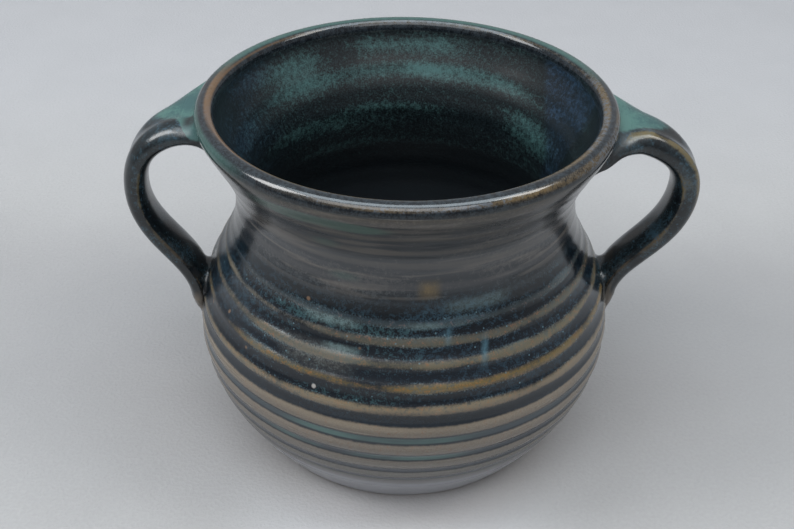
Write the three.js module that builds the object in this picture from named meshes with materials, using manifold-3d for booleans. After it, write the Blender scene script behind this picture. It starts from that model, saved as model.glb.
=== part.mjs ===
// Two-handled stoneware vase: a wheel-thrown pot with spiral throwing ridges and two pulled strap handles.
// Millimetres, +Z up. The origin is the middle of the foot, on the ground. The handles lie along X, and the
// front is towards -Y.

import * as THREE from 'three';
import { mergeVertices } from 'three/addons/utils/BufferGeometryUtils.js';
import Module from 'manifold-3d';

// Pot, outside
const potHeight = 104;
const rimDiameter = 112;
const lipThickness = 5.3;
const lipLean = 17; // degrees from upright where the wall runs into the lip
const neckDiameter = 93.7;
const neckHeight = 78.2;
const bellyDiameter = 118.4;
const bellyHeight = 36;
const footDiameter = 88.7;
const footLean = 37; // degrees from upright where the wall leaves the foot
const footBevel = 0.8;

// How long the wall holds its direction at each turning point, as shares of the rise to the next one
const footHold = 0.3;
const bellyHoldBelow = 0.385;
const bellyHoldAbove = 0.487;
const neckHoldBelow = 0.44;
const neckHoldAbove = 0.3;
const lipHold = 0.175;

// Pot, inside and underneath
const neckWall = 4.6;
const bellyWall = 4.7;
const floorThickness = 6.5;
const floorFlatDiameter = 64;
const floorHold = 0.62; // how far the floor runs on level towards the wall before it curves up
const footRingWidth = 7;
const footRecess = 2;

// Throwing ridges: one spiral, its turns given by the heights of their crests at the front
const crestHeights = [7.4, 13, 18.6, 25.2, 32, 39.2, 45.5, 51, 56.2, 61.4, 66, 70.8, 75.6, 80.4];
const ridgeDepth = 0.65;
const grooveShare = 0.4; // share of that depth that lies inside the smooth wall
const ridgeStart = 11; // height where the ridges begin
const ridgeStartFade = 7; // height over which they rise to their depth
const ridgeEnd = 74; // height where they have run out
const ridgeEndFade = 15; // height over which they die away on the shoulder

// Handles: one pulled strap each, luted on under the lip and on the belly
const strapWidth = 14.4;
const strapThickness = 6.5;
const strapCorner = 2.4; // superellipse power of the strap's section
const fanCorner = 1.7; // the same at the lip, where the strap thins out to both sides
const jointGap = 0.3;
const strapRoot = 7; // how far inside the rim the strap's line begins, before it is cut to the pot
const fanReach = 5; // length in which the fan under the lip narrows to the strap
const webReach = 3.5; // length in which the webs at the belly narrow to the strap
const webSpread = 1.2; // extra half width of the strap where it meets the belly
const jointSwell = 0.8; // extra half thickness of the strap at both of its joints
const tailHeight = 37.5; // where the tail runs out on the belly
const tailWidth = 6;
const tailThickness = 2.4;

const leftTurn = 5.5; // degrees that each handle stands towards the front, off the X axis
const leftReach = 18.2; // strap's middle beyond the rim, at its farthest
const leftReachDrop = 22.7; // that farthest point, below the rim
const leftTopDrop = 5.8; // strap's middle below the rim where it leaves the lip
const leftTopRun = 14; // how far the strap heads level out from the rim
const leftTopBend = 5; // how far above the farthest point it has turned down
const leftLowerBend = 17.4; // how far below that point it still heads down
const leftSeatHeight = 46.3; // strap's middle where it lands on the belly
const leftSeatRise = 13.7; // how far above the seat the strap has turned down towards it
const leftSeatLean = 1.7; // how far out of the upright it comes in
const leftFan = 7.5; // extra half width of the fan at the lip

const rightTurn = 2.2;
const rightReach = 20;
const rightReachDrop = 24.7;
const rightTopDrop = 7;
const rightTopRun = 7;
const rightTopBend = 14;
const rightLowerBend = 16.3;
const rightSeatHeight = 46.5;
const rightSeatRise = 12;
const rightSeatLean = 1.2;
const rightFan = 9.5;

// Fineness of the mesh
const turnSteps = 56; // columns round the pot
const rowsPerRidge = 5;
const fineSteps = 60; // steps along each curve of the wall, where its radius is measured
const plainStride = 7; // of these, how many make one row of the plain wall
const curveSteps = 6; // steps along each curve of the lip and the inside
const strapSteps = 34;
const strapSides = 18;

const stoneware = { color: 0x47504f, roughness: 0.32, metalness: 0.0 };
const handleGlaze = { color: 0x33403f, roughness: 0.28, metalness: 0.0 };

const wasm = await Module();
wasm.setup();

const radians = THREE.MathUtils.degToRad;
const point = (x, y) => new THREE.Vector2(x, y);
const above = (p, rise) => point(p.x, p.y + rise);

// Points along a Bezier curve, without its first one, so that curves can be chained.
function curveTo(from, handleA, handleB, to, steps) {
  return new THREE.CubicBezierCurve(from, handleA, handleB, to).getPoints(steps).slice(1);
}

const rimRadius = rimDiameter / 2;
const lipRadius = lipThickness / 2;
const lipCentre = point(rimRadius - lipRadius, potHeight - lipRadius);
const belly = point(bellyDiameter / 2, bellyHeight);
const neck = point(neckDiameter / 2, neckHeight);
const shoulderRise = neckHeight - bellyHeight;
const flareRise = potHeight - neckHeight;

// The outside of the wall, foot to lip: out to the belly, in to the neck, out again to the lip.
function outsideWall() {
  const foot = point(footDiameter / 2, footBevel);
  const footPull = footHold * bellyHeight;
  const footLeanAngle = radians(footLean);
  const footHandle = point(
    foot.x + footPull * Math.sin(footLeanAngle),
    foot.y + footPull * Math.cos(footLeanAngle),
  );
  const lean = radians(lipLean);
  const lipSide = point(
    lipCentre.x + lipRadius * Math.cos(lean),
    lipCentre.y - lipRadius * Math.sin(lean),
  );
  const lipPull = lipHold * flareRise;
  const lipHandle = point(lipSide.x - lipPull * Math.sin(lean), lipSide.y - lipPull * Math.cos(lean));
  return [
    foot,
    ...curveTo(foot, footHandle, above(belly, -bellyHoldBelow * bellyHeight), belly, fineSteps),
    ...curveTo(belly, above(belly, bellyHoldAbove * shoulderRise),
      above(neck, -neckHoldBelow * shoulderRise), neck, fineSteps),
    ...curveTo(neck, above(neck, neckHoldAbove * flareRise), lipHandle, lipSide, fineSteps),
  ];
}

// The rounded lip, from the outside over the top to the inside.
function lip() {
  const start = -radians(lipLean);
  return Array.from({ length: curveSteps }, (_, i) => {
    const angle = THREE.MathUtils.lerp(start, Math.PI, (i + 1) / curveSteps);
    return point(lipCentre.x + lipRadius * Math.cos(angle), lipCentre.y + lipRadius * Math.sin(angle));
  });
}

// The inside: down the wall, round the corner and across the floor to the axis.
function inside() {
  const top = point(lipCentre.x - lipRadius, lipCentre.y);
  const innerNeck = point(neck.x - neckWall, neck.y);
  const innerBelly = point(belly.x - bellyWall, belly.y);
  const corner = point(floorFlatDiameter / 2, floorThickness);
  const floorEnd = point(THREE.MathUtils.lerp(corner.x, innerBelly.x, floorHold), floorThickness);
  return [
    ...curveTo(top, above(top, -lipHold * flareRise),
      above(innerNeck, neckHoldAbove * flareRise), innerNeck, curveSteps),
    ...curveTo(innerNeck, above(innerNeck, -neckHoldBelow * shoulderRise),
      above(innerBelly, bellyHoldAbove * shoulderRise), innerBelly, curveSteps),
    ...curveTo(innerBelly, above(innerBelly, -bellyHoldBelow * bellyHeight), floorEnd, corner, curveSteps),
    point(0, floorThickness),
  ];
}

// The underside: a trimmed recess with a sloping side inside a flat foot ring with a small bevel.
function underside() {
  const ringOutside = footDiameter / 2 - footBevel;
  const ringInside = footDiameter / 2 - footRingWidth;
  return [point(0, footRecess), point(ringInside - footRecess, footRecess), point(ringInside, 0),
    point(ringOutside, 0)];
}

const wallLine = outsideWall();

function wallRadius(height) {
  const next = Math.max(1, wallLine.findIndex((p) => p.y >= height));
  const [a, b] = [wallLine[next - 1], wallLine[next]];
  return THREE.MathUtils.mapLinear(height, a.y, b.y, a.x, b.x);
}

// Height of the spiral's line for a turn counted up from the lowest crest, such as 2.5 for a groove.
function spiralHeight(turn) {
  const index = THREE.MathUtils.clamp(Math.floor(turn), 0, crestHeights.length - 2);
  return THREE.MathUtils.lerp(crestHeights[index], crestHeights[index + 1], turn - index);
}

// How far the clay stands out of the smooth wall: crests are narrow, grooves are wide.
function ridgeHeight(turn, height) {
  const rise = THREE.MathUtils.smoothstep(height, ridgeStart, ridgeStart + ridgeStartFade);
  const fall = 1 - THREE.MathUtils.smoothstep(height, ridgeEnd - ridgeEndFade, ridgeEnd);
  return ridgeDepth * rise * fall * (0.5 + 0.5 * Math.cos(2 * Math.PI * turn) - grooveShare);
}

// One column of points up the outside, at a part of a full turn round the pot. The spiral sinks by one
// ridge in a turn, and the rows sink with it; a row that would leave the ridged band stays on its edge.
function wallColumn(part, grow) {
  const plain = wallLine.filter((p, i) => i % plainStride === 0 || i === wallLine.length - 1);
  const low = plain.filter((p) => p.y < ridgeStart);
  const high = plain.filter((p) => p.y > ridgeEnd);
  const rows = [];
  for (let row = 0; row <= (crestHeights.length - 1) * rowsPerRidge; row++) {
    const turn = row / rowsPerRidge;
    const height = THREE.MathUtils.clamp(spiralHeight(turn - part), ridgeStart, ridgeEnd);
    rows.push(point(wallRadius(height) + ridgeHeight(turn, height), height));
  }
  return [...low, ...rows, ...high].map((p) => point(p.x + grow, p.y));
}

// A closed skin through columns of points, each running from pole to pole.
function skin(columns) {
  const length = columns[0].length;
  const faces = [];
  for (let i = 0; i + 1 < columns.length; i++) {
    for (let j = 0; j + 1 < length; j++) {
      const a = i * length + j;
      const b = a + length;
      faces.push(a, b, b + 1, a, b + 1, a + 1);
    }
  }
  const places = columns.flat().flatMap((p) => p.toArray());
  const geometry = new THREE.BufferGeometry();
  geometry.setAttribute('position', new THREE.Float32BufferAttribute(places, 3));
  geometry.setIndex(faces);
  return geometry;
}

// A turned body whose outline may differ round the pot. The front is where the turn starts.
function turned(outlineAt) {
  const columns = [];
  for (let i = 0; i <= turnSteps; i++) {
    const angle = 2 * Math.PI * (i % turnSteps) / turnSteps - Math.PI / 2;
    const column = outlineAt(i / turnSteps);
    columns.push(column.map((p) => new THREE.Vector3(p.x * Math.cos(angle), p.x * Math.sin(angle), p.y)));
  }
  return skin(columns);
}

function toSolid(geometry) {
  const welded = mergeVertices(geometry, 1e-4);
  const index = Array.from(welded.index.array);
  const kept = [];
  for (let i = 0; i < index.length; i += 3) {
    const [a, b, c] = index.slice(i, i + 3);
    if (a !== b && b !== c && c !== a) kept.push(a, b, c);
  }
  return new wasm.Manifold(new wasm.Mesh({
    numProp: 3,
    vertProperties: new Float32Array(welded.attributes.position.array),
    triVerts: new Uint32Array(kept),
  }));
}

function fromSolid(solid) {
  const mesh = solid.getMesh();
  const geometry = new THREE.BufferGeometry();
  geometry.setAttribute('position', new THREE.BufferAttribute(new Float32Array(mesh.vertProperties), 3));
  geometry.setIndex(new THREE.BufferAttribute(new Uint32Array(mesh.triVerts), 1));
  geometry.computeVertexNormals();
  return geometry;
}

function potBody() {
  const under = underside();
  const inner = [...lip(), ...inside()];
  return turned((part) => [...under, ...wallColumn(part, 0), ...inner]);
}

// Everything inside the pot's outside, grown by the joint gap: what a handle is cut back by.
function potEnvelope() {
  const outerLip = lip().filter((p) => p.x > lipCentre.x).map((p) => point(p.x + jointGap, p.y + jointGap));
  const top = potHeight + jointGap;
  return turned((part) => [point(0, 0), ...wallColumn(part, jointGap), ...outerLip, point(0, top)]);
}

// The strap's middle line in its own upright plane: level off the lip, over and down the loop, back in to
// the belly, then down the belly as a tail.
function strapLine(shape) {
  const start = point(rimRadius - strapRoot, potHeight - shape.topDrop);
  const heading = point(rimRadius + shape.topRun, start.y);
  const farthest = point(rimRadius + shape.reach, potHeight - shape.reachDrop);
  const seat = point(wallRadius(shape.seatHeight), shape.seatHeight);
  const approach = point(seat.x + shape.seatLean, seat.y + shape.seatRise);
  const tail = point(wallRadius(tailHeight) - ridgeDepth - tailThickness / 2, tailHeight);
  const tailPull = seat.distanceTo(tail) / 3;
  const onward = seat.clone().sub(approach).setLength(tailPull).add(seat);
  return [
    start,
    ...curveTo(start, heading, above(farthest, shape.topBend), farthest, fineSteps),
    ...curveTo(farthest, above(farthest, -shape.lowerBend), approach, seat, fineSteps),
    ...curveTo(seat, onward, above(tail, tailPull), tail, fineSteps),
  ];
}

// One superellipse section, square to the strap's line.
function section(middle, along, halfWidth, halfThickness, corner) {
  const bulge = (value) => Math.sign(value) * Math.abs(value) ** (2 / corner);
  const loop = [];
  for (let k = 0; k <= strapSides; k++) {
    const angle = -2 * Math.PI * (k % strapSides) / strapSides;
    const across = bulge(Math.cos(angle)) * halfWidth;
    const out = bulge(Math.sin(angle)) * halfThickness;
    loop.push(new THREE.Vector3(middle.x - along.y * out, across, middle.y + along.x * out));
  }
  return loop;
}

// The strap as sections along its line. It fans out at the lip, webs out at the belly and ends in a
// thin tail.
function strap(shape) {
  const { lerp, smoothstep } = THREE.MathUtils;
  const line = new THREE.SplineCurve(strapLine(shape));
  const columns = [];
  for (let i = 0; i <= strapSteps; i++) {
    const middle = line.getPointAt(i / strapSteps);
    const along = line.getTangentAt(i / strapSteps);
    const upper = middle.y > potHeight - shape.reachDrop;
    const fromLip = Math.max(middle.x - lipCentre.x, 0);
    const fromBelly = Math.max(middle.x - wallRadius(middle.y), 0);
    const fan = upper ? Math.exp(-fromLip / fanReach) : 0;
    const web = upper ? 0 : Math.exp(-fromBelly / webReach);
    const full = smoothstep(middle.y, tailHeight, shape.seatHeight);
    const halfWidth = lerp(tailWidth, strapWidth, full) / 2 + shape.fan * fan + webSpread * web * full;
    const halfThickness = lerp(tailThickness, strapThickness, full) / 2 + jointSwell * (fan + web * full);
    const end = i === 0 || i === strapSteps ? [section(middle, along, 0, 0, strapCorner)] : [];
    const loop = section(middle, along, halfWidth, halfThickness, lerp(strapCorner, fanCorner, fan));
    columns.push(...(i === 0 ? [...end, loop] : [loop, ...end]));
  }
  return skin(columns).rotateZ(shape.turn);
}

const leftShape = {
  turn: Math.PI + radians(leftTurn),
  reach: leftReach,
  reachDrop: leftReachDrop,
  topDrop: leftTopDrop,
  topRun: leftTopRun,
  topBend: leftTopBend,
  lowerBend: leftLowerBend,
  seatHeight: leftSeatHeight,
  seatRise: leftSeatRise,
  seatLean: leftSeatLean,
  fan: leftFan,
};
const rightShape = {
  turn: -radians(rightTurn),
  reach: rightReach,
  reachDrop: rightReachDrop,
  topDrop: rightTopDrop,
  topRun: rightTopRun,
  topBend: rightTopBend,
  lowerBend: rightLowerBend,
  seatHeight: rightSeatHeight,
  seatRise: rightSeatRise,
  seatLean: rightSeatLean,
  fan: rightFan,
};

function named(name, solid, finish) {
  const mesh = new THREE.Mesh(fromSolid(solid), new THREE.MeshStandardMaterial(finish));
  mesh.name = name;
  return mesh;
}

const envelope = toSolid(potEnvelope());
const group = new THREE.Group();
group.add(
  named('pot_body', toSolid(potBody()), stoneware),
  named('handle_left', toSolid(strap(leftShape)).subtract(envelope), handleGlaze),
  named('handle_right', toSolid(strap(rightShape)).subtract(envelope), handleGlaze),
);

export default group;
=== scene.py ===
# Two-handled stoneware vase under a dark glaze that breaks to tan on the throwing ridges and pools to teal.
# Objects are in metres and the sizes below in millimetres, +Z up, with the origin in the middle of the foot.
# The handles lie along X, the front is towards -Y.

import math

import bpy
import numpy as np
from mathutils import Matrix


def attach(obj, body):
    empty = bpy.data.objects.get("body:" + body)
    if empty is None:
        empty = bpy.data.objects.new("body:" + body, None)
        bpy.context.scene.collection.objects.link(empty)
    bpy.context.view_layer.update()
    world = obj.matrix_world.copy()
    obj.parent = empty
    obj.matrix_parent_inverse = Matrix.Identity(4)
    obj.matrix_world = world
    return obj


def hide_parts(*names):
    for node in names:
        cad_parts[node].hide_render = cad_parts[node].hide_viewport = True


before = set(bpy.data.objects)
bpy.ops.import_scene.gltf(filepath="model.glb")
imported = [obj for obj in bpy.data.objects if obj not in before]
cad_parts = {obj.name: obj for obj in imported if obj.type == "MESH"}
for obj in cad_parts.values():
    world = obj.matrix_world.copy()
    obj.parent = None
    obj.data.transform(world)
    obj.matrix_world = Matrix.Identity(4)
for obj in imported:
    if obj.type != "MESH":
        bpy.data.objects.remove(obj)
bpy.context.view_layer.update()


# Camera: a 50 mm lens a little above the rim and two hands' breadths in front of the vase, looking down into
# its mouth.
camera = bpy.data.objects.new("camera", bpy.data.cameras.new("camera"))
camera.data.lens = 50
camera.data.sensor_width = 36
camera.data.clip_start = 0.01
camera.location = (0, -0.264157, 0.234134)
camera.rotation_euler = [math.radians(turn) for turn in (55.077, -0.586, 0.872)]
bpy.context.collection.objects.link(camera)
bpy.context.scene.camera = camera


# Pot: thrown on the wheel from one lump of stoneware and trimmed at the foot. The thrower's fingers leave one
# spiral ridge from belly to lip. The glaze is thin and tan on the ridge and thick and dark between its turns,
# and the clay is bare underneath.
RIM_RADIUS = 56.0
HEIGHT = 104.0
LIP_RADIUS = 2.65
LIP_LEAN = math.radians(17)
# Distance from the axis and height
NECK = (46.85, 78.2)
BELLY = (59.2, 36.0)
FOOT_BEVEL = 0.8
FOOT = (44.35, FOOT_BEVEL)
FOOT_LEAN = math.radians(37)
# How long the wall keeps its direction below and above each of them, as a share of the rise on that side
FOOT_HOLD = 0.3
BELLY_HOLD = (0.385, 0.487)
NECK_HOLD = (0.44, 0.3)
LIP_HOLD = 0.175
WALL = 4.65
# The floor's top, how far out it is flat, and how far out the wall's curve is pulled as it runs into it
FLOOR_TOP = 6.5
FLOOR_FLAT = 32.0
FLOOR_PULL = 46.0
# Underneath: the recess, the width of the ring round it, and how far the ring's corners are rounded
RECESS = 2.0
FOOT_RING = 7.0
FOOT_EASE = 0.5

# Heights of the spiral's crests at the front, and how far each stands out of the groove below it
CRESTS = (9.5, 16.2, 20.4, 26.1, 32.4, 39.0, 45.4, 51.2, 56.5, 61.7, 66.0, 70.8, 75.3, 82.4, 87.2, 92.8, 99)
SWELLS = (0, .12, .3, .5, .6, .62, .58, .5, .42, .3, .12, .03, .06, .05, .02, .08, 0)
# The share of a swell that lies below the smooth wall, in the groove
GROOVE_SHARE = 0.42
# The heights between which the crests turn from broad to narrow
BROAD_TO_NARROW = (30, 48)
# The same inside, where the other hand pulled, and where it fades out at the floor and the lip
INNER_CRESTS = (10, 19, 28, 37, 46, 54.5, 62.5, 70, 77, 83.5, 89.5, 95)
INNER_SWELL = 0.06
INNER_FADE = (8, 16, 90, 98)

# The mesh: columns round the pot, the spacing of its rings, and the radius of the first ring round the middle
POT_COLUMNS = 300
UNDER_STEP = 1.2
OUTSIDE_STEP = 0.42
LIP_STEP = 0.45
INSIDE_STEP = 0.95
MIDDLE_RING = 3.0


def bezier(a, b, c, d, steps):
    """Points along a Bezier curve, without its first one, so that curves can be chained."""
    t = np.linspace(0, 1, steps + 1)[1:, None]
    a, b, c, d = (np.array(p, float) for p in (a, b, c, d))
    return (1 - t) ** 3 * a + 3 * (1 - t) ** 2 * t * b + 3 * (1 - t) * t ** 2 * c + t ** 3 * d


def above(point, rise):
    """The place at the same distance from the axis, higher by the rise."""
    return point[0], point[1] + rise


def eased(corners, radius):
    """A line through corners, each of them rounded off."""
    line = [np.array(corners[0], float)]
    for before, corner, after in zip(corners, corners[1:], corners[2:]):
        corner = np.array(corner, float)
        ends = []
        for other in (before, after):
            way = np.array(other) - corner
            ends.append(corner + way * min(radius / np.hypot(*way), 0.45))
        pulls = [(end + 2 * corner) / 3 for end in ends]
        line += [ends[0], *bezier(ends[0], *pulls, ends[1], 4)]
    return np.array(line + [np.array(corners[-1], float)])


def spaced(line, step):
    """The line again with points at an even spacing."""
    along = np.append(0, np.cumsum(np.hypot(*np.diff(line, axis=0).T)))
    places = np.linspace(0, along[-1], max(2, round(along[-1] / step) + 1))
    return np.stack([np.interp(places, along, line[:, i]) for i in (0, 1)], axis=1)


shoulder_rise = NECK[1] - BELLY[1]
flare_rise = HEIGHT - NECK[1]
lip_centre = np.array([RIM_RADIUS - LIP_RADIUS, HEIGHT - LIP_RADIUS])
lip_side = lip_centre + LIP_RADIUS * np.array([math.cos(LIP_LEAN), -math.sin(LIP_LEAN)])
lip_pull = lip_side - LIP_HOLD * flare_rise * np.array([math.sin(LIP_LEAN), math.cos(LIP_LEAN)])
foot_pull = FOOT + FOOT_HOLD * BELLY[1] * np.array([math.sin(FOOT_LEAN), math.cos(FOOT_LEAN)])
outside = np.vstack([
    [FOOT],
    bezier(FOOT, foot_pull, above(BELLY, -BELLY_HOLD[0] * BELLY[1]), BELLY, 80),
    bezier(BELLY, above(BELLY, BELLY_HOLD[1] * shoulder_rise),
           above(NECK, -NECK_HOLD[0] * shoulder_rise), NECK, 80),
    bezier(NECK, above(NECK, NECK_HOLD[1] * flare_rise), lip_pull, lip_side, 60),
])
sweep = np.linspace(-LIP_LEAN, math.pi, 26)[1:, None]
lip = lip_centre + LIP_RADIUS * np.hstack([np.cos(sweep), np.sin(sweep)])
inner_neck = (NECK[0] - WALL, NECK[1])
inner_belly = (BELLY[0] - WALL, BELLY[1])
inside = np.vstack([
    lip[-1:],
    bezier(lip[-1], above(lip[-1], -LIP_HOLD * flare_rise),
           above(inner_neck, NECK_HOLD[1] * flare_rise), inner_neck, 40),
    bezier(inner_neck, above(inner_neck, -NECK_HOLD[0] * shoulder_rise),
           above(inner_belly, BELLY_HOLD[1] * shoulder_rise), inner_belly, 60),
    bezier(inner_belly, above(inner_belly, -BELLY_HOLD[0] * BELLY[1]),
           (FLOOR_PULL, FLOOR_TOP), (FLOOR_FLAT, FLOOR_TOP), 60),
    [[MIDDLE_RING, FLOOR_TOP]],
])
ring_inside = FOOT[0] - FOOT_RING
under = eased([(MIDDLE_RING, RECESS), (ring_inside - RECESS, RECESS), (ring_inside, 0),
               (FOOT[0] - FOOT_BEVEL, 0), FOOT], FOOT_EASE)


def winding(height, angle, crests):
    """Turns of the spiral up to a point: whole on a crest, half in a groove. Crests sink by one per round."""
    return np.interp(height, crests, range(len(crests))) + (angle / (2 * math.pi) + 0.25) % 1


def ridge(height, angle):
    """How far the outside stands out of the smooth wall. Crests are narrow above and broad low down."""
    wave = 0.5 + 0.5 * np.cos(2 * math.pi * winding(height, angle, CRESTS))
    narrow = np.interp(height, BROAD_TO_NARROW, (0.75, 1.5))
    swell = np.interp(height, CRESTS, SWELLS)
    # The fingers press unevenly: a slow change round the pot and a quicker one
    uneven = 1 + 0.18 * np.sin(2 * angle + height * 0.11) + 0.1 * np.sin(5 * angle - height * 0.23)
    return swell * uneven * (wave ** narrow - GROOVE_SHARE)


def wall_radius(height, angle):
    """Radius of the pot's outside at a height, lip and ridges included."""
    bead = lip[:, 1].argmax()
    line = np.vstack([outside, lip[:bead + 1]])
    return np.interp(height, line[:, 1], line[:, 0]) + ridge(height, angle)


def skin(name, rings, poles, glaze_layers):
    """A closed mesh over rings of points with a pole at each end, with the values that the glaze reads."""
    count, around = rings.shape[:2]
    index = np.arange(count * around).reshape(count, around)
    beside = np.roll(index, -1, axis=1)
    quads = np.stack([index[:-1], beside[:-1], beside[1:], index[1:]], axis=-1).reshape(-1, 4)
    start, end = count * around, count * around + 1
    caps = [(start, b, a) for a, b in zip(index[0].tolist(), beside[0].tolist())]
    caps += [(end, a, b) for a, b in zip(index[-1].tolist(), beside[-1].tolist())]
    mesh = bpy.data.meshes.new(name)
    mesh.from_pydata((np.vstack([rings.reshape(-1, 3), poles]) / 1000).tolist(), [], quads.tolist() + caps)
    mesh.shade_smooth()
    for layer, values in glaze_layers.items():
        # Each pole takes the value of the ring beside it
        values = np.append(values.ravel(), values[[0, -1], 0])
        mesh.attributes.new(layer, "FLOAT", "POINT").data.foreach_set("value", values)
    made = bpy.data.objects.new(name, mesh)
    bpy.context.collection.objects.link(made)
    return made


stretches = [spaced(under, UNDER_STEP), spaced(outside, OUTSIDE_STEP)[1:],
             spaced(np.vstack([outside[-1:], lip]), LIP_STEP)[1:], spaced(inside, INSIDE_STEP)[1:]]
line = np.vstack(stretches)
ends = np.cumsum([len(stretch) for stretch in stretches])
wall_rows, lip_rows, inside_rows = (slice(start, end) for start, end in zip(ends, ends[1:]))
outer, inner = np.zeros((2, len(line), 1))
outer[wall_rows] = 1
inner[inside_rows] = 1
heading = np.gradient(line, axis=0)
normal = np.stack([heading[:, 1], -heading[:, 0]], axis=1) / np.hypot(*heading.T)[:, None]
angles = np.arange(POT_COLUMNS) * 2 * math.pi / POT_COLUMNS
grid_height, grid_angle = np.meshgrid(line[:, 1], angles, indexing="ij")
inner_turn = winding(grid_height, grid_angle, INNER_CRESTS)
inner_wave = np.cos(2 * math.pi * inner_turn) * np.interp(grid_height, INNER_FADE, (0, 1, 1, 0))
push = outer * ridge(grid_height, grid_angle) + inner * INNER_SWELL * inner_wave
radius = line[:, :1] + normal[:, :1] * push
rings = np.stack([radius * np.cos(grid_angle), radius * np.sin(grid_angle),
                  line[:, 1:] + normal[:, 1:] * push], axis=-1)
crest = np.cos(2 * math.pi * winding(grid_height, grid_angle, CRESTS)) * outer + inner_wave * inner
# Degrees over the lip, which faces outward at 0, up at 90 and inward at 180. The wall has less or more.
lip_turn = np.full_like(crest, -90)
lip_turn[lip_rows] = np.degrees(np.linspace(-LIP_LEAN, math.pi, len(stretches[2])))[:, None]
lip_turn[inside_rows] = 220
pot = skin("pot", rings, [(0, 0, RECESS), (0, 0, FLOOR_TOP)],
           {"crest": crest, "lip_turn": lip_turn, "inside": np.repeat(inner, POT_COLUMNS, axis=1)})


class Field:
    """A value or colour that varies over a surface. Arithmetic on it adds Math nodes."""

    def __init__(self, tree, socket=None):
        self.tree, self.socket = tree, socket

    def node(self, kind, settings=None, values=None, output=0):
        """A new node: its settings first, then the values or links of its sockets."""
        made = self.tree.nodes.new("ShaderNode" + kind)
        for name, setting in (settings or {}).items():
            if name == "stops":
                stops = made.color_ramp.elements
                for i, (place, colour) in enumerate(setting):
                    stop = stops[i] if i < len(stops) else stops.new(place)
                    stop.position, stop.color = place, colour
            else:
                setattr(made, name, setting)
        self.feed(made, values or {})
        return Field(self.tree, made.outputs[output])

    def feed(self, made, values):
        """Sets or links a node's sockets by name or number."""
        for name, value in values.items():
            if isinstance(value, Field):
                self.tree.links.new(value.socket, made.inputs[name])
            else:
                made.inputs[name].default_value = value

    def layer(self, name):
        """A value that the mesh carries at its points."""
        return self.node("Attribute", {"attribute_name": name}, output="Fac")

    def math(self, operation, a, b):
        """One Math node on two values."""
        return self.node("Math", {"operation": operation}, {0: a, 1: b})

    def __add__(self, other):
        return self.math("ADD", self, other)

    __radd__ = __add__

    def __sub__(self, other):
        return self.math("SUBTRACT", self, other)

    def __rsub__(self, other):
        return self.math("SUBTRACT", other, self)

    def __mul__(self, other):
        return self.math("MULTIPLY", self, other)

    __rmul__ = __mul__

    def over(self, low, high):
        """0 below low, 1 above high, smooth between. With low above high it falls instead."""
        return self.node("MapRange", {"interpolation_type": "SMOOTHSTEP"},
                         {"Value": self, "From Min": low, "From Max": high})

    def between(self, start, full, fading, end):
        """0 below start and above end, 1 from full to fading."""
        return self.over(start, full) * self.over(end, fading)

    def mix(self, a, b):
        """Colour a where this is 0, colour b where it is 1."""
        return self.node("Mix", {"data_type": "RGBA"}, {0: self, 6: a, 7: b}, output=2)

    def spread(self, sizes, shift):
        """This position in units of the three sizes, moved along by the shift."""
        return self.node("Mapping", {}, {"Vector": self, "Location": [shift] * 3,
                                         "Scale": [1 / size for size in sizes]})

    def noise(self, size, detail=2.0, stretch=(1, 1, 1), shift=0.0):
        """Cloudy noise from 0 to 1 on this position, its clouds about size across."""
        cells = self.spread([size * longer for longer in stretch], shift)
        return cells.node("TexNoise", {}, {"Vector": cells, "Scale": 1.0, "Detail": detail})


def colour(red, green, blue):
    """A colour given as it looks on a screen, 0 to 255."""
    levels = [level / 255 for level in (red, green, blue)]
    return *(((level + 0.055) / 1.055) ** 2.4 if level > 0.04 else level / 12.92 for level in levels), 1


def millimetres(material):
    """The position on the object, in millimetres, and its three parts."""
    place = Field(material.node_tree).node("TexCoord", output="Object")
    place = place.node("VectorMath", {"operation": "SCALE"}, {0: place, "Scale": 1000.0})
    return place, *(place.node("SeparateXYZ", {}, {0: place}, output=axis) for axis in "XYZ")


def specks(place, size, share, radius, shift):
    """Round specks about radius across in cells of a size; share says how many of the cells have one."""
    cells = place.spread([size] * 3, shift)
    middle, chance = (place.node("TexVoronoi", {}, {"Vector": cells, "Scale": 1.0}, output=part)
                      for part in ("Distance", "Color"))
    chance = place.node("SeparateColor", {}, {0: chance}, output=0)
    return middle.over(radius / size, radius / size * 0.5) * (chance - share).over(0.02, -0.02)


def dimples(place, grain):
    """The fine dimples that both glazes dried with, as a normal."""
    dimple = place.noise(2.2, 2) * 0.6 + grain * 0.4
    return dimple.node("Bump", {}, {"Height": dimple, "Strength": 0.25, "Distance": 0.00012})


# Up the outside from foot to lip, as shares of the height: the colour of the thick glaze in the grooves
# Its pale greys near the foot are partly painted reflection of the paper that the foot mirrors at a grazing
# angle.
THICK = [(0.0, colour(160, 162, 168)), (0.13, colour(142, 144, 150)), (0.16, colour(110, 113, 119)),
         (0.18, colour(62, 66, 74)), (0.30, colour(62, 68, 76)), (0.355, colour(64, 74, 80)),
         (0.39, colour(27, 33, 40)), (0.46, colour(12, 19, 27)), (0.52, colour(20, 27, 35)),
         (0.62, colour(10, 17, 24)), (0.675, colour(10, 18, 24)), (0.70, colour(24, 31, 37)),
         (0.735, colour(46, 50, 55)), (0.77, colour(70, 73, 77)), (0.88, colour(70, 72, 75)),
         (0.94, colour(60, 62, 64)), (0.96, colour(34, 42, 44))]
# The colour of the thin glaze on the ridge
THIN = [(0.0, colour(112, 112, 114)), (0.17, colour(108, 107, 103)), (0.30, colour(120, 113, 105)),
        (0.38, colour(125, 116, 104)), (0.44, colour(121, 110, 92)), (0.49, colour(108, 92, 58)),
        (0.54, colour(104, 98, 82)), (0.60, colour(86, 84, 74)), (0.64, colour(60, 74, 81)),
        (0.70, colour(66, 69, 74)), (0.80, colour(94, 92, 90)), (0.93, colour(92, 87, 80)),
        (0.96, colour(118, 98, 72))]
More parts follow.
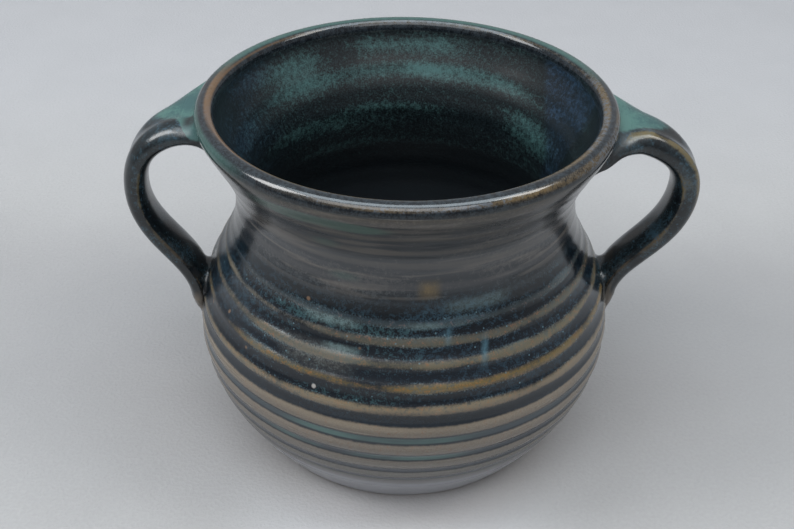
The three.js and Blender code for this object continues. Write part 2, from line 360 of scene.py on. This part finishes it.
# In three channels, how high on the ridge the thin glaze begins, how strong it is and how speckled
HABIT = [(0.0, (0.5, 0.0, 0.0, 1)), (0.11, (0.4, 0.1, 0.0, 1)), (0.17, (0.3, 0.7, 0.0, 1)),
         (0.22, (0.4, 1.0, 0.0, 1)), (0.37, (0.42, 1.0, 0.1, 1)), (0.43, (0.72, 1.0, 0.4, 1)),
         (0.48, (0.78, 1.0, 0.8, 1)), (0.58, (0.76, 0.9, 1.0, 1)), (0.63, (0.72, 0.6, 1.0, 1)),
         (0.67, (0.85, 0.3, 0.6, 1)), (0.73, (0.7, 0.6, 0.2, 1)), (0.86, (0.8, 0.6, 0.0, 1)),
         (0.92, (0.9, 0.3, 0.0, 1))]
RUST = colour(150, 92, 48)
SMOKE = colour(84, 92, 92)
STONE = colour(122, 115, 101)
SAND = colour(88, 80, 70)
OUTLINE = colour(34, 40, 46)
THREAD_TEAL = colour(92, 126, 120)
BLUE = colour(52, 78, 94)
PALE_BLUE = colour(104, 138, 150)
TEAL = colour(82, 124, 116)
BRUSHED_PALE = colour(104, 100, 96)
BRUSHED_DARK = colour(52, 57, 62)
FROTH = colour(118, 114, 110)
BARE_CLAY = colour(122, 96, 74)

glaze = bpy.data.materials.new("pot_glaze")
glaze.use_nodes = True
place, side, depth, height = millimetres(glaze)
wave = place.layer("crest") * 0.5 + 0.5
within = place.layer("inside")
lip_turn = place.layer("lip_turn")
part_way = height * (1 / HEIGHT)
thick, thin, habit = (place.node("ValToRGB", {"stops": stops}, {"Fac": part_way})
                      for stops in (THICK, THIN, HABIT))
begins, strength, speckled = (place.node("SeparateColor", {}, {0: habit}, output=i) for i in range(3))

grain = place.noise(0.42, 2)
mottle = place.noise(1.3, 2, shift=13.0)
cloud = place.noise(16, 3, (1.8, 1.8, 0.6), shift=7.0)
streak = place.noise(9, 3, (3, 3, 0.3), shift=21.0)
uneven = place.noise(12, 3, (1.7, 1.7, 0.6), shift=51.0)
stipple = mottle * 0.5 + grain * 0.5
low = height.over(45, 38)
shoulder = height.between(40, 48, 64, 72)
on_lip = lip_turn.between(-30, -10, 180, 205)

# Thin glaze on the ridge, its edge grainy on the shoulder and even lower down
frayed = (grain - 0.5) * (speckled * 0.26 + 0.1) + (mottle - 0.5) * 0.2 + (streak - 0.5) * 0.3
edge = wave + frayed + (uneven - 0.5) * speckled * 1.5
begins = begins + side.over(-12, -40) * shoulder * 0.12
softness = 0.28 - low * 0.14
upper_left = side.over(-14, -30) * height.between(57, 60, 62.5, 68)
strength = strength + upper_left * 0.3
band = edge.over(begins - softness, begins + softness) * strength * (streak * 0.6 + 0.7) * (1 - on_lip)
# It is mottled with rust, smoky on the shoulder, stony high on the left and sandy low down
rusty = stipple.over(0.54, 0.66) * (shoulder * 0.5 + low * height.over(24, 34) * 0.22)
tinted = rusty.mix(thin, RUST)
tinted = ((stipple + (cloud - 0.5) * 0.5).over(0.48, 0.4) * shoulder * 0.6).mix(tinted, SMOKE)
tinted = (upper_left * 0.6).mix(tinted, STONE)
tinted = (grain.over(0.38, 0.62) * low * height.over(14, 20) * 0.25).mix(tinted, SAND)

# Thick glaze between: low down a dark line beside the ridge, then a grey core with teal threads on the left
groove = wave.over(0.24, 0.06)
rest = (low * height.over(15.5, 18) * (1 - groove) * 0.85).mix(thick, OUTLINE)
thread = groove * low * height.between(24, 29, 38, 41) * side.between(-42, -22, 4, 26)
rest = (thread * cloud.over(0.3, 0.55) * 0.55).mix(rest, THREAD_TEAL)
# On the shoulder blue flecks, a pale mist beside the ridge, and teal where it pools
flecks = (stipple + (cloud - 0.5) * 0.4).over(0.48, 0.64) * speckled
rest = (flecks * 0.45).mix(rest, BLUE)
mist = (uneven + (grain - 0.5) * 0.7).over(0.5, 0.75) * wave.over(0.2, 0.6) * shoulder
rest = (mist * 0.45).mix(rest, PALE_BLUE)
window = side.between(-48, -28, -6, 16) * shoulder * depth.over(0, -10)
pool = (cloud * 0.5 + window * 0.2 + (stipple - 0.5) * 0.9).over(0.42, 0.7)
rest = (pool * wave.over(0.9, 0.5) * shoulder * (1 - low) * 0.25).mix(rest, TEAL)
# On the neck pale and dark runs, as if brushed downwards, and a little froth
brush = place.noise(7, 3, (3.5, 3.5, 0.3), shift=41.0)
neck = height.over(70, 75) * (1 - on_lip)
rest = (neck * brush.over(0.5, 0.66) * 0.7).mix(rest, BRUSHED_PALE)
rest = (neck * brush.over(0.5, 0.36) * 0.7).mix(rest, BRUSHED_DARK)
rest = (neck * (stipple + (cloud - 0.5) * 0.6).over(0.5, 0.7) * 0.25).mix(rest, FROTH)
coat = band.mix(rest, tinted)

# The lip is dark blue, with teal outside at the left end and over its outer half at the back
LIP_BLACK = colour(16, 21, 26)
LIP_BLUE = colour(42, 50, 56)
LIP_OCHRE = colour(98, 82, 56)
LIP_GREY = colour(92, 96, 102)
LIP_BROWN = colour(116, 88, 64)
back = depth.over(5, 25)
left_end = side.over(-26, -44)
dark_lip = stipple.over(0.4, 0.62).mix(LIP_BLACK, LIP_BLUE)
dark_lip = (lip_turn.over(60, 30) * side.over(-36, -48) * depth.over(10, -10) * 0.4).mix(dark_lip, TEAL)
dark_lip = (back * lip_turn.over(122, 100) * 0.4).mix(dark_lip, TEAL)
# A brown line follows its inner edge, and a fainter one its outside. On the flanks, which are both its ends
# but for the left one's front, one wider line reaches over the top. At the right front it comes down outside.
not_left_front = side.math("MAXIMUM", depth.over(-30, -5), side.over(20, 40))
flanks = side.math("ABSOLUTE", side, 0).over(22, 42) * not_left_front
brown = lip_turn.between(96, 112, 128, 142) + lip_turn.between(12, 24, 36, 46) * side.over(-40, 0) * 0.8
brown = brown * (1 - flanks) + lip_turn.between(78, 100, 122, 140) * flanks
brown = brown + lip_turn.between(-5, 15, 40, 60) * side.over(15, 35) * depth.over(0, -10) * 0.8
brown = brown * (1 - back * lip_turn.over(135, 112))
brown = brown * (stipple + (streak - 0.5) * 0.7 + left_end * 0.2).over(0.28, 0.62)
mixed = (stipple + (cloud - 0.5) * 0.6).over(0.5, 0.62).mix(LIP_OCHRE, LIP_GREY)
mixed = (left_end * 0.75).mix(mixed, LIP_BROWN)
coat = on_lip.mix(coat, (brown * 0.85).mix(dark_lip, mixed))


# Runs and stains, each one as its height, half its depth, from where to where across, and how dense
NECK_STREAKS = [(96.2, 1.5, -36, -27, 0.9), (96.6, 1.5, -27, -13, 0.9), (95.8, 1.2, -13, -5, 0.9),
                (87.8, 1.8, -21, -17, 0.8), (77.2, 1.3, -17, -13, 0.6)]
SHOULDER_SMEARS = [(64.8, 0.8, -23, -13, 0.9), (58.7, 0.6, -18, -13, 0.9), (65.3, 0.6, 3, 8, 0.8),
                   (69.5, 1.2, 12, 24, 0.5)]
SHOULDER_CLOUD = [(68.6, 2.6, 3, 22, 1.0)]
OCHRE_STAIN = [(74.8, 1.7, 4.5, 8.0, 1.0)]
GREY_PATCH = [(55.9, 2.0, -29, -15, 1.0)]
BLUE_RUNS = [(58.0, 2.4, 20.3, 20.9, 1.0), (62.5, 1.6, 11.0, 11.5, 0.8)]
INSIDE_STREAKS = [(93, 5, -39, -28, 1.0), (97.3, 2, -15, 13, 1.0), (90.2, 1.7, 4, 34, 0.9),
                  (90, 1.5, -26, 6, 0.5), (80, 1.0, -16, 10, 0.6), (77.3, 1.8, -38, -19, 0.7),
                  (81, 4, 32, 42, 0.8), (67.3, 1.2, -32, 28, 0.35)]
NECK_TEAL = colour(88, 118, 108)
SMEARED_TEAL = colour(120, 143, 144)
CLOUD_BLUE = colour(52, 80, 96)
OCHRE = colour(116, 98, 62)
PATCH_GREY = colour(104, 104, 100)
RUN_BLUE = colour(84, 122, 138)
PALE_SPOT = colour(176, 172, 168)
RUST_SPOT = colour(120, 96, 76)


def patches(spots, soft=9):
    """A value that is high inside each of the spots, with borders that are soft over some millimetres."""
    total = 0.0
    for middle, half, left, right, density in spots:
        near, far = half * 0.2, half * 2.2
        rise = height.between(middle - far, middle - near, middle + near, middle + far)
        run = side.between(left - soft, left + soft / 2, right - soft / 2, right + soft)
        total = rise * run * density + total
    return total


front = depth.over(0, -10) * (1 - within)
coat = ((patches(NECK_STREAKS) * front + (cloud - 0.5) * 0.4).over(0.25, 0.9) * 0.5).mix(coat, NECK_TEAL)
# On the shoulder and where the neck begins: spots, softness of their borders, what breaks them up, colour
for spots, soft, broken, tone in (
        (SHOULDER_SMEARS, 4, stipple.over(0.3, 0.65) * 0.49 + 0.245, SMEARED_TEAL),
        (SHOULDER_CLOUD, 6, stipple.over(0.38, 0.62) * 0.5, CLOUD_BLUE),
        (OCHRE_STAIN, 2, stipple * 1.1, OCHRE),
        (GREY_PATCH, 5, stipple.over(0.25, 0.7) * 0.65, PATCH_GREY),
        (BLUE_RUNS, 1.2, stipple * 1.1, RUN_BLUE)):
    coat = (patches(spots, soft) * front * broken).mix(coat, tone)
# Specks on the shoulder: size of their cells, share of the cells, radius, shift, how strong, colour
for size, share, radius, shift, density, tone in (
        (2.0, shoulder * cloud * 0.5, 0.32, 2.0, 0.55, PALE_BLUE),
        (8.0, shoulder * 0.25, 0.8, 5.0, 0.8, PALE_SPOT),
        (6.0, shoulder * 0.32, 0.75, 9.0, 0.75, RUST_SPOT)):
    coat = (specks(place, size, share, radius, shift) * density).mix(coat, tone)

# Inside the glaze is near black above, with teal stippled over it along the throwing lines and navy at both
# ends.
# The grey towards the floor is painted light where little light reaches the deep inside, and the brighter navy
# on the right wall is partly painted light from the left.
INSIDE_BLACK = colour(7, 12, 15)
INSIDE_GREY = colour(28, 38, 42)
DEEP_PAINTED_LIGHT = colour(50, 56, 62)
INSIDE_TEAL = colour(68, 102, 102)
DARK_NAVY = colour(22, 32, 40)
NAVY = colour(46, 68, 92)
inner_cloud = place.noise(15, 4, (2.0, 2.0, 0.5), shift=31.0)
haze = patches(INSIDE_STREAKS) * depth.over(0, 10) * 0.36 + inner_cloud * 0.6 + (stipple - 0.5) * 1.2
coat_inside = grain.over(0.35, 0.65).mix(INSIDE_BLACK, INSIDE_GREY)
# Painted light: greyer towards the floor, where little light reaches
coat_inside = height.over(70, 25).mix(coat_inside, DEEP_PAINTED_LIGHT)
coat_inside = (haze.over(0.3, 0.95) * height.over(30, 70)).mix(coat_inside, INSIDE_TEAL)
navy = (stipple + (inner_cloud - 0.5) * 0.8).over(0.4, 0.7).mix(DARK_NAVY, NAVY)
# Navy at both ends; on the right back wall it is stronger, partly navy glaze and partly painted light from the
# left
coat_inside = (side.over(39, 41) * depth.over(0, 6) * 0.75 + side.over(-34, -46) * 0.3).mix(coat_inside, navy)
coat = within.mix(coat, coat_inside)
bare = height.over(0.7, 0.4)
coat = bare.mix(coat, BARE_CLAY)

# Glossiest on the lip, less so where the glaze is thin, towards the foot, inside and left on the shoulder
rough = 0.17 - on_lip * 0.05 + band * 0.1 + height.over(20, 8) * 0.12 + within * 0.14
rough = rough + side.over(-34, -44) * shoulder * 0.14 + bare * 0.4
place.feed(glaze.node_tree.nodes["Principled BSDF"],
           {"Base Color": coat, "Roughness": rough, "Normal": dimples(place, grain), "IOR": 1.52,
            "Coat Weight": lip_turn.between(15, 45, 100, 135) * 0.4, "Coat IOR": 1.7, "Coat Roughness": 0.16})

pot.data.materials.append(glaze)
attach(pot, "root")
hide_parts("pot_body")


# Handles: two straps pulled from a wet lump, pressed on under the lip and thumbed out on the belly, then
# glazed with the pot. They were set by eye, so the left one stands further to the front and the right one
# loops wider.

# A strap is laid out along +X and then turned. Its middle line is two curves, over the bend and down to its
# seat on the belly, as distance from the axis and height. Its half widths and half thickness are given at the
# stations, which are shares of the way to the seat. "front" is the side on which the pot's front then lies,
# and "lift" is how far its back and front edges rise where it joins the lip. "pool" is how far forward the
# teal pool reaches at what shares. Places across run from -1 at the back to 1 in front: "hollow_at" is that of
# the thumbed hollow, and "rim" is the height, width and place of the rim beside it, which begins at "rim_from".
STATIONS = (0, 0.06, 0.11, 0.16, 0.22, 0.34, 0.56, 0.79, 1)
LEFT = {
    "turn": math.pi + math.radians(5.5),
    "line": [(44, 96.4), (66.0, 101.2), (73.3, 91.4), (73.3, 79.6), (73.3, 64.3), (59.4, 58.9), (58.7, 45.2)],
    "front": 1,
    "front_width": (14.5, 14.2, 12.6, 10.0, 8.4, 7.4, 7.1, 7.3, 7.6),
    "back_width": (27, 27, 25, 19.5, 13, 8.2, 7.1, 7.3, 7.6),
    "half_thickness": (3.4, 3.6, 3.8, 3.8, 3.6, 3.3, 3.11, 3.2, 3.1),
    "lift": (2.2, 0.0),
    "pool": ((0.14, 0.18, 0.21, 0.27), (1.2, 0.7, 0.2, -0.2)),
    "rim": (0.35, 0.4, 0.4),
    "rim_from": 0.16,
    "hollow_at": -0.08,
}
RIGHT = {
    "turn": -math.radians(2.2),
    "line": [(44, 95.0), (63.0, 99.2), (76.2, 91.7), (76.2, 80.2), (76.2, 63.1), (58.9, 58.3), (58.4, 46)],
    "front": -1,
    "front_width": (17.8, 17.6, 15.5, 11.6, 8.9, 7.7, 7.1, 6.8, 6.9),
    "back_width": (26, 26, 24, 18, 12, 8.4, 7.1, 6.8, 6.9),
    "half_thickness": (4.8, 4.9, 4.9, 4.4, 4.0, 3.7, 3.75, 3.32, 2.9),
    "lift": (2.2, -2.6),
    "pool": ((0.1, 0.17, 0.23, 0.31), (0.5, 0.5, 0.28, -0.1)),
    "rim": (0.8, 0.28, 0.7),
    "rim_from": 0.18,
    "hollow_at": 0.15,
}

# The thumbed hollow: how deep at what shares of the way to the seat, and how wide across
HOLLOW_DEPTH = ((0, 0.12, 0.24, 0.5), (1.2, 1.5, 0.8, 0.2))
HOLLOW_WIDTH = 0.42
# Below the seat the tail runs into the belly: how deep at what height, and how far it narrows and thins
TAIL = ((0.1, 41.0), (2.4, 36.8))
TAIL_PULL = 3.5
TAIL_NARROWING = 0.62
TAIL_THINNING = 0.72
# How full the strap's section is along the way: 2 is an ellipse, and less draws its edge out thin
FULL_AT = (0, 0.1, 0.18, 0.28)
FRONT_FULL = (2.1, 2.1, 1.9, 2.3)
BACK_FULL = (1.25, 1.35, 1.8, 2.4)
# Fillets reach along the strap and spread over the wall. At the lip they spread further at the strap's edges
# and underneath, and on the belly the potter's tuck makes them larger underneath. Each goes on for a few
# shares of its spread, sinking into the wall, and all stay some way below the rim.
LIP_REACH = 3.0
BELLY_REACH = 2.2
TUCK_REACH = 5.0
LIP_SPREAD = 0.8
LIP_EDGE_SPREAD = 1.9
LIP_UNDER_SPREAD = 1.2
BELLY_SPREAD = 1.4
TUCK_SPREAD = 4.0
FILLET_SINKS = ((1, 0.0), (1.25, 0.25), (1.4, 1.4))
BELOW_RIM = 1.4
# The mesh: points along the middle line, steps of its curves, how often its heading is smoothed, sides of the
# section, rings between the fillets and in each
PATH_POINTS = 420
SMOOTHINGS = 6
CURVE_STEPS = 60
TAIL_STEPS = 24
STRAP_SIDES = 56
STRAP_STEPS = 130
FILLET_STEPS = 9


def flowing(places, stations, values):
    """A smooth curve through the values at the stations."""
    values = np.array(values, float)
    slopes = np.gradient(values, stations)
    gap = np.clip(np.searchsorted(stations, places, side="right") - 1, 0, len(stations) - 2)
    start, end = np.take(stations, gap), np.take(stations, gap + 1)
    t = (places - start) / (end - start)
    return ((1 + 2 * t) * (1 - t) ** 2 * values[gap] + t * (1 - t) ** 2 * (end - start) * slopes[gap]
            + t * t * (3 - 2 * t) * values[gap + 1] - t * t * (1 - t) * (end - start) * slopes[gap + 1])


def upright(points, turn):
    """Height, angle and distance from the axis of points that were laid out along +X, after their turn."""
    x, y = points[..., 0], points[..., 1]
    return points[..., 2], np.arctan2(y, x) + turn, np.hypot(x, y)


def unit(vector):
    """The vector again with length 1."""
    return vector / np.linalg.norm(vector)


def bulge(value, fullness):
    """A sine or cosine drawn out or filled up, so that the section is no plain ellipse."""
    return np.sign(value) * np.abs(value) ** (2 / fullness)


def mound(value, middle, width):
    """A smooth hump, 1 high in the middle."""
    return np.exp(-((value - middle) / width) ** 2)


def fillet(columns, clear, k, at, inward, spread, reach, step, turn):
    """Points from the free strap to the wall and into it, where column k crosses the wall near row at."""
    here, past = columns[at, k], columns[at + inward, k]
    hit = here + (past - here) * clear[at, k] / (clear[at, k] - clear[at + inward, k])
    leave = columns[min(max(at - inward * round(reach / step), 0), PATH_POINTS - 1), k]
    # Outward across the wall, square to the strap's own surface
    beside = columns[at, (k + 1) % STRAP_SIDES] - columns[at, k - 1]
    surface = unit(np.cross(leave - hit, beside) * -inward)
    height, angle, _ = upright(hit, turn)
    slope = wall_radius(height + 0.5, angle) - wall_radius(height - 0.5, angle)
    facing = unit(np.array([math.cos(angle - turn), math.sin(angle - turn), -slope]))
    away = unit(surface - facing * surface.dot(facing))
    foot = []
    for share, sink in FILLET_SINKS:
        spot = hit + away * spread * share
        spot[2] = min(spot[2], HEIGHT - BELOW_RIM)
        height, angle, distance = upright(spot, turn)
        spot[:2] *= (wall_radius(height, angle) - sink) / distance
        foot.append(spot)
    t = np.linspace(0, 1, FILLET_STEPS)[:, None]
    return np.vstack([(1 - t) ** 2 * leave + 2 * t * (1 - t) * hit + t ** 2 * foot[0], foot[1:]])


def strap(name, shape):
    """A handle from the lip to the belly. It is laid out along +X and then turned round the pot's axis."""
    line, turn = shape["line"], shape["turn"]
    seat = line[-1]
    tail = [(wall_radius(z, turn) - deep, z) for deep, z in TAIL]
    path = np.vstack([[line[0]], bezier(*line[:4], CURVE_STEPS), bezier(*line[3:], CURVE_STEPS),
                      bezier(seat, above(seat, -TAIL_PULL), *tail, TAIL_STEPS)])
    along = np.append(0, np.cumsum(np.hypot(*np.diff(path, axis=0).T)))
    seat_at = along[2 * CURVE_STEPS]
    places = np.linspace(0, along[-1], PATH_POINTS)
    step = places[1]
    middle = np.stack([np.interp(places, along, path[:, i]) for i in (0, 1)], axis=1)
    heading = np.gradient(middle, axis=0)
    for _ in range(SMOOTHINGS):
        heading[1:-1] = (heading[:-2] + heading[1:-1] * 2 + heading[2:]) / 4
    heading /= np.hypot(*heading.T)[:, None]

    share = np.clip(places / seat_at, 0, 1)
    in_tail = np.clip((places - seat_at) / (along[-1] - seat_at), 0, 1)
    front_width, back_width, half_thickness = (flowing(share, STATIONS, shape[size])[:, None]
                                               for size in ("front_width", "back_width", "half_thickness"))
    around = -np.arange(STRAP_SIDES) * 2 * math.pi / STRAP_SIDES
    forward = np.cos(around)[None] * shape["front"]
    fullness = np.where(forward > 0, np.interp(share, FULL_AT, FRONT_FULL)[:, None],
                        np.interp(share, FULL_AT, BACK_FULL)[:, None])
    width = np.where(forward > 0, front_width, back_width) * (1 - TAIL_NARROWING * in_tail[:, None] ** 1.3)
    across = bulge(forward, fullness)
    out = bulge(np.sin(around)[None], fullness) * half_thickness * (1 - TAIL_THINNING * in_tail[:, None])
    # The thumb that joined the strap hollowed its top and left a rim along the front of it
    upper = np.clip(np.sin(around) * 3, 0, 1)[None]
    rim_rise, rim_width, rim_at = shape["rim"]
    rim_from = shape["rim_from"]
    rim = np.interp(share, (rim_from, rim_from + 0.06, 0.32, 0.6), (0, 1, 0.7, 0.3))[:, None]
    rim = rim * rim_rise * mound(across, rim_at, rim_width)
    hollow = np.interp(share, *HOLLOW_DEPTH)[:, None] * mound(across, shape["hollow_at"], HOLLOW_WIDTH)
    out = out + (rim - hollow) * upper
    # The web leans: it meets the lip higher at the back than at the front
    for lift, edge in zip(shape["lift"], (-across, across)):
        lean = np.interp(share, (0, 0.1, 0.24), (lift, lift * 0.8, 0))[:, None]
        out = out + lean * np.clip(edge, 0, 1) ** 1.5
    columns = np.stack([middle[:, :1] - heading[:, 1:] * out, across * width * shape["front"],
                        middle[:, 1:] + heading[:, :1] * out], axis=-1)

    # Where each column of the strap leaves the pot under the lip and meets it again on the belly
    height, angle, distance = upright(columns, turn)
    clear = distance - wall_radius(height, angle)
    every, top = range(PATH_POINTS), PATH_POINTS // 2
    rings, shares = [], []
    for k in range(STRAP_SIDES):
        free = clear[:, k] > 0
        first = top - np.argmin(free[:top][::-1])
        last = top + np.argmin(free[top:])
        under = max(-math.sin(around[k]), 0)
        lip_spread = LIP_SPREAD + LIP_EDGE_SPREAD * abs(math.cos(around[k])) + LIP_UNDER_SPREAD * under
        belly_spread = BELLY_SPREAD + TUCK_SPREAD * under ** 2
        belly_reach = BELLY_REACH + TUCK_REACH * under ** 2
        at_lip = fillet(columns, clear, k, first, -1, lip_spread, LIP_REACH, step, turn)
        at_belly = fillet(columns, clear, k, last, 1, belly_spread, belly_reach, step, turn)
        begin, stop = first + round(LIP_REACH / step), last - round(belly_reach / step)
        rows = np.linspace(begin, stop, STRAP_STEPS)[1:-1]
        body = np.stack([np.interp(rows, every, values) for values in columns[:, k].T], axis=1)
        rings.append(np.vstack([at_lip[::-1], body, at_belly]))
        shares.append(np.hstack([np.full(len(at_lip), share[first]), np.interp(rows, every, share),
                                 np.ones(len(at_belly))]))
    shares = np.stack(shares, axis=1)
    x, y, z = np.moveaxis(np.stack(rings, axis=1), -1, 0)
    cos, sin = math.cos(turn), math.sin(turn)
    rings = np.stack([x * cos - y * sin, x * sin + y * cos, z], axis=-1)

    # What the glaze reads: rim and edges where it wears thin (along the rim partly a painted highlight), the
    # teal pool on top, the web and the dry tail
    rim_wear_and_highlight = mound(forward, rim_at, 0.2) * upper * rim_rise * 1.3
    worn_edge = mound(forward, 0.95, 0.06) * (1 - upper) * np.interp(shares, (0.3, 0.5), (0.45, 0.85))
    pool_at, pool_edge = shape["pool"]
    pooled = np.clip((np.interp(shares, pool_at, pool_edge) - forward) * 3 + 0.5, 0, 1) * upper
    way_down = np.arange(len(rings))[:, None] / len(rings)
    layers = {"edge": (rim_wear_and_highlight + worn_edge) * np.clip(shares * 12 - 1.5, 0, 1),
              "fan": pooled * np.clip((pool_at[-1] + 0.04 - shares) * 14, 0, 1),
              "web": np.clip((0.2 - shares) * 20, 0, 1),
              "tail": np.clip(way_down * 14 - 11.7, 0, 1) * np.clip(np.sin(around)[None] * 1.5 + 0.6, 0, 1)}
    return skin(name, rings, [rings[0].mean(axis=0), rings[-1].mean(axis=0)], layers)


handle_left = strap("handle_left_strap", LEFT)
handle_right = strap("handle_right_strap", RIGHT)

STRAP_BLACK = colour(14, 19, 23)
STRAP_GREY = colour(40, 54, 60)
WORN_BROWN = colour(92, 76, 54)
GOLD_WEAR_AND_HIGHLIGHT = colour(116, 102, 68)
POOL_DEEP = colour(54, 86, 87)
POOL_PALE = colour(74, 110, 104)
WEB_PAINTED_SHADE = colour(26, 34, 36)
DRY_TAIL = colour(104, 94, 82)

strap_glaze = bpy.data.materials.new("handle_glaze")
strap_glaze.use_nodes = True
place, side, depth, height = millimetres(strap_glaze)
edge, fan, web, tail = (place.layer(name) for name in ("edge", "fan", "web", "tail"))
grain = place.noise(0.5, 2)
cloud = place.noise(9, 3, shift=3.0)
mottle = place.noise(1.3, 2, shift=13.0)
stipple = mottle * 0.5 + grain * 0.5
clouded = cloud + (stipple - 0.5) * 0.8
coat = clouded.over(0.35, 0.7).mix(STRAP_BLACK, STRAP_GREY)
# Worn thin along the rim and the front edge, gold above and brown below. The gold along the rim is partly a
# painted highlight, laid where the rim catches the light.
wear_and_highlight = (edge + (stipple - 0.5) * 0.6 + (cloud - 0.5) * 1.8).over(0.5, 1.0)
coat = (wear_and_highlight * 0.65).mix(coat, height.over(60, 80).mix(WORN_BROWN, GOLD_WEAR_AND_HIGHLIGHT))
# Teal pooled on top, with painted shade in the hollow where the left one's web meets the lip
pooled = (fan + (stipple - 0.5) * 0.4 + (cloud - 0.5) * 0.4).over(0.2, 0.8)
coat = (pooled * 0.92).mix(coat, clouded.over(0.35, 0.65).mix(POOL_DEEP, POOL_PALE))
web_shade = side.between(-59.5, -56.5, -10, 0) * depth.between(-13.5, -11, -8.5, -6.5) * height.over(97, 99)
coat = (web_shade * (stipple + 0.25).over(0.4, 0.8)).mix(coat, WEB_PAINTED_SHADE)
# The tail is drier, and blue flecks lie over all but the pool
coat = (tail.over(0.1, 0.8) * 0.8).mix(coat, DRY_TAIL)
coat = ((stipple + (cloud - 0.5) * 0.4).over(0.56, 0.66) * (1 - pooled) * 0.6).mix(coat, BLUE)
place.feed(strap_glaze.node_tree.nodes["Principled BSDF"],
           {"Base Color": coat, "Roughness": 0.2 + web * 0.25, "Normal": dimples(place, grain), "IOR": 1.6})

for handle, node in ((handle_left, "handle_left"), (handle_right, "handle_right")):
    handle.data.materials.append(strap_glaze)
    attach(handle, "root")
    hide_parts(node)


# Table: a wide sheet of pale, slightly rough paper that lies flat under the pot. It is only there to stand on
# and to be mirrored in the glaze.

# Metres from the middle to each edge
TABLE_REACH = 4
PAPER_SHADE = colour(155, 154, 154)
PAPER_LIGHT = colour(178, 177, 177)
PAPER_PAINTED_SHADE = colour(141, 140, 142)
PAPER_PAINTED_LIGHT = colour(178, 179, 186)
PAPER_PAINTED_GLOW = colour(202, 202, 205)
PAPER_PAINTED_DARK = colour(60, 60, 62)

floor_mesh = bpy.data.meshes.new("table")
corners = [(x * TABLE_REACH, y * TABLE_REACH, 0) for x, y in ((-1, -1), (1, -1), (1, 1), (-1, 1))]
floor_mesh.from_pydata(corners, [], [(0, 1, 2, 3)])
table = bpy.data.objects.new("table", floor_mesh)
bpy.context.collection.objects.link(table)
paper = bpy.data.materials.new("paper")
paper.use_nodes = True
place, side, depth, _ = millimetres(paper)
tooth = place.noise(1.1, 3)
mottle = place.noise(30, 2)
sheet = (mottle * 0.4 + tooth * 0.6).mix(PAPER_SHADE, PAPER_LIGHT)
# Painted shade, a little darker beside the pot, and painted light, paler and cooler, behind it
sheet = (depth.between(-110, 40, 60, 130) * 0.5).mix(sheet, PAPER_PAINTED_SHADE)
sheet = (depth.over(60, 260) * 0.35).mix(sheet, PAPER_PAINTED_LIGHT)
# Painted light, brightest just in front of the foot, where the pot's shadow falls
sheet = (depth.between(-78, -58, -50, -25) * side.between(-60, -15, 15, 60) * 0.5).mix(sheet, PAPER_PAINTED_GLOW)
# Painted shade far in front, out of view: the paper turns dark there, darkening what the glaze mirrors
sheet = (depth.over(-160, -420) * 0.4).mix(sheet, PAPER_PAINTED_DARK)
pressed = place.node("Bump", {}, {"Height": tooth, "Strength": 0.5, "Distance": 0.0005})
place.feed(paper.node_tree.nodes["Principled BSDF"],
           {"Base Color": sheet, "Roughness": 0.85, "Normal": pressed})
floor_mesh.materials.append(paper)


# Light: a long soft strip over the vase from left to right, a wide dimmer one in front and a small one at
# each side, all turned to the vase. They hang in a plain grey room, which is paler above and darker low down
# on the near side. Their places and sizes are in metres and their power in watts.
LIT_PLACE = (0, 0, 0.05)


def lamp(name, size, power, place, tint=(1, 1, 1)):
    """A soft lamp that faces the vase."""
    light = bpy.data.lights.new(name, "AREA")
    light.shape, light.size, light.size_y = "RECTANGLE", *size
    light.energy, light.color = power, tint
    made = bpy.data.objects.new(name, light)
    made.location = place
    way = np.array(place) - LIT_PLACE
    tilt = math.acos(way[2] / np.linalg.norm(way))
    made.rotation_euler = (tilt, 0, math.atan2(way[1], way[0]) + math.pi / 2)
    bpy.context.collection.objects.link(made)


lamp("overhead", (0.52, 1.3), 8.2, (0, 0, 1.15), (0.82, 0.93, 1.0))
lamp("left", (0.42, 0.6), 6.2, (-0.95, -0.12, 0.98))
lamp("right", (0.3, 0.5), 3.2, (0.8, -0.1, 1.05), (1.0, 0.98, 0.94))
lamp("front", (1.6, 0.7), 8.0, (-0.1, -0.75, 1.15))

# The room's grey from eye level to overhead
ROOM = [(0.0, (0.33, 0.33, 0.33, 1)), (0.35, (0.33, 0.33, 0.34, 1)), (0.65, (0.35, 0.36, 0.37, 1)),
        (0.9, (0.42, 0.44, 0.46, 1))]
ROOM_DARK = (0.03, 0.03, 0.035, 1)
world = bpy.data.worlds.new("room")
world.use_nodes = True
bpy.context.scene.world = world
direction = Field(world.node_tree).node("TexCoord", output="Generated")
behind, rise = (direction.node("SeparateXYZ", {}, {0: direction}, output=axis) for axis in "YZ")
walls = rise.node("ValToRGB", {"stops": ROOM}, {"Fac": rise})
walls = (behind.over(0.0, -0.5) * rise.over(0.5, 0.2) * 0.35).mix(walls, ROOM_DARK)
direction.feed(world.node_tree.nodes["Background"], {"Color": walls, "Strength": 1.0})

bpy.context.scene.view_settings.view_transform = "Standard"
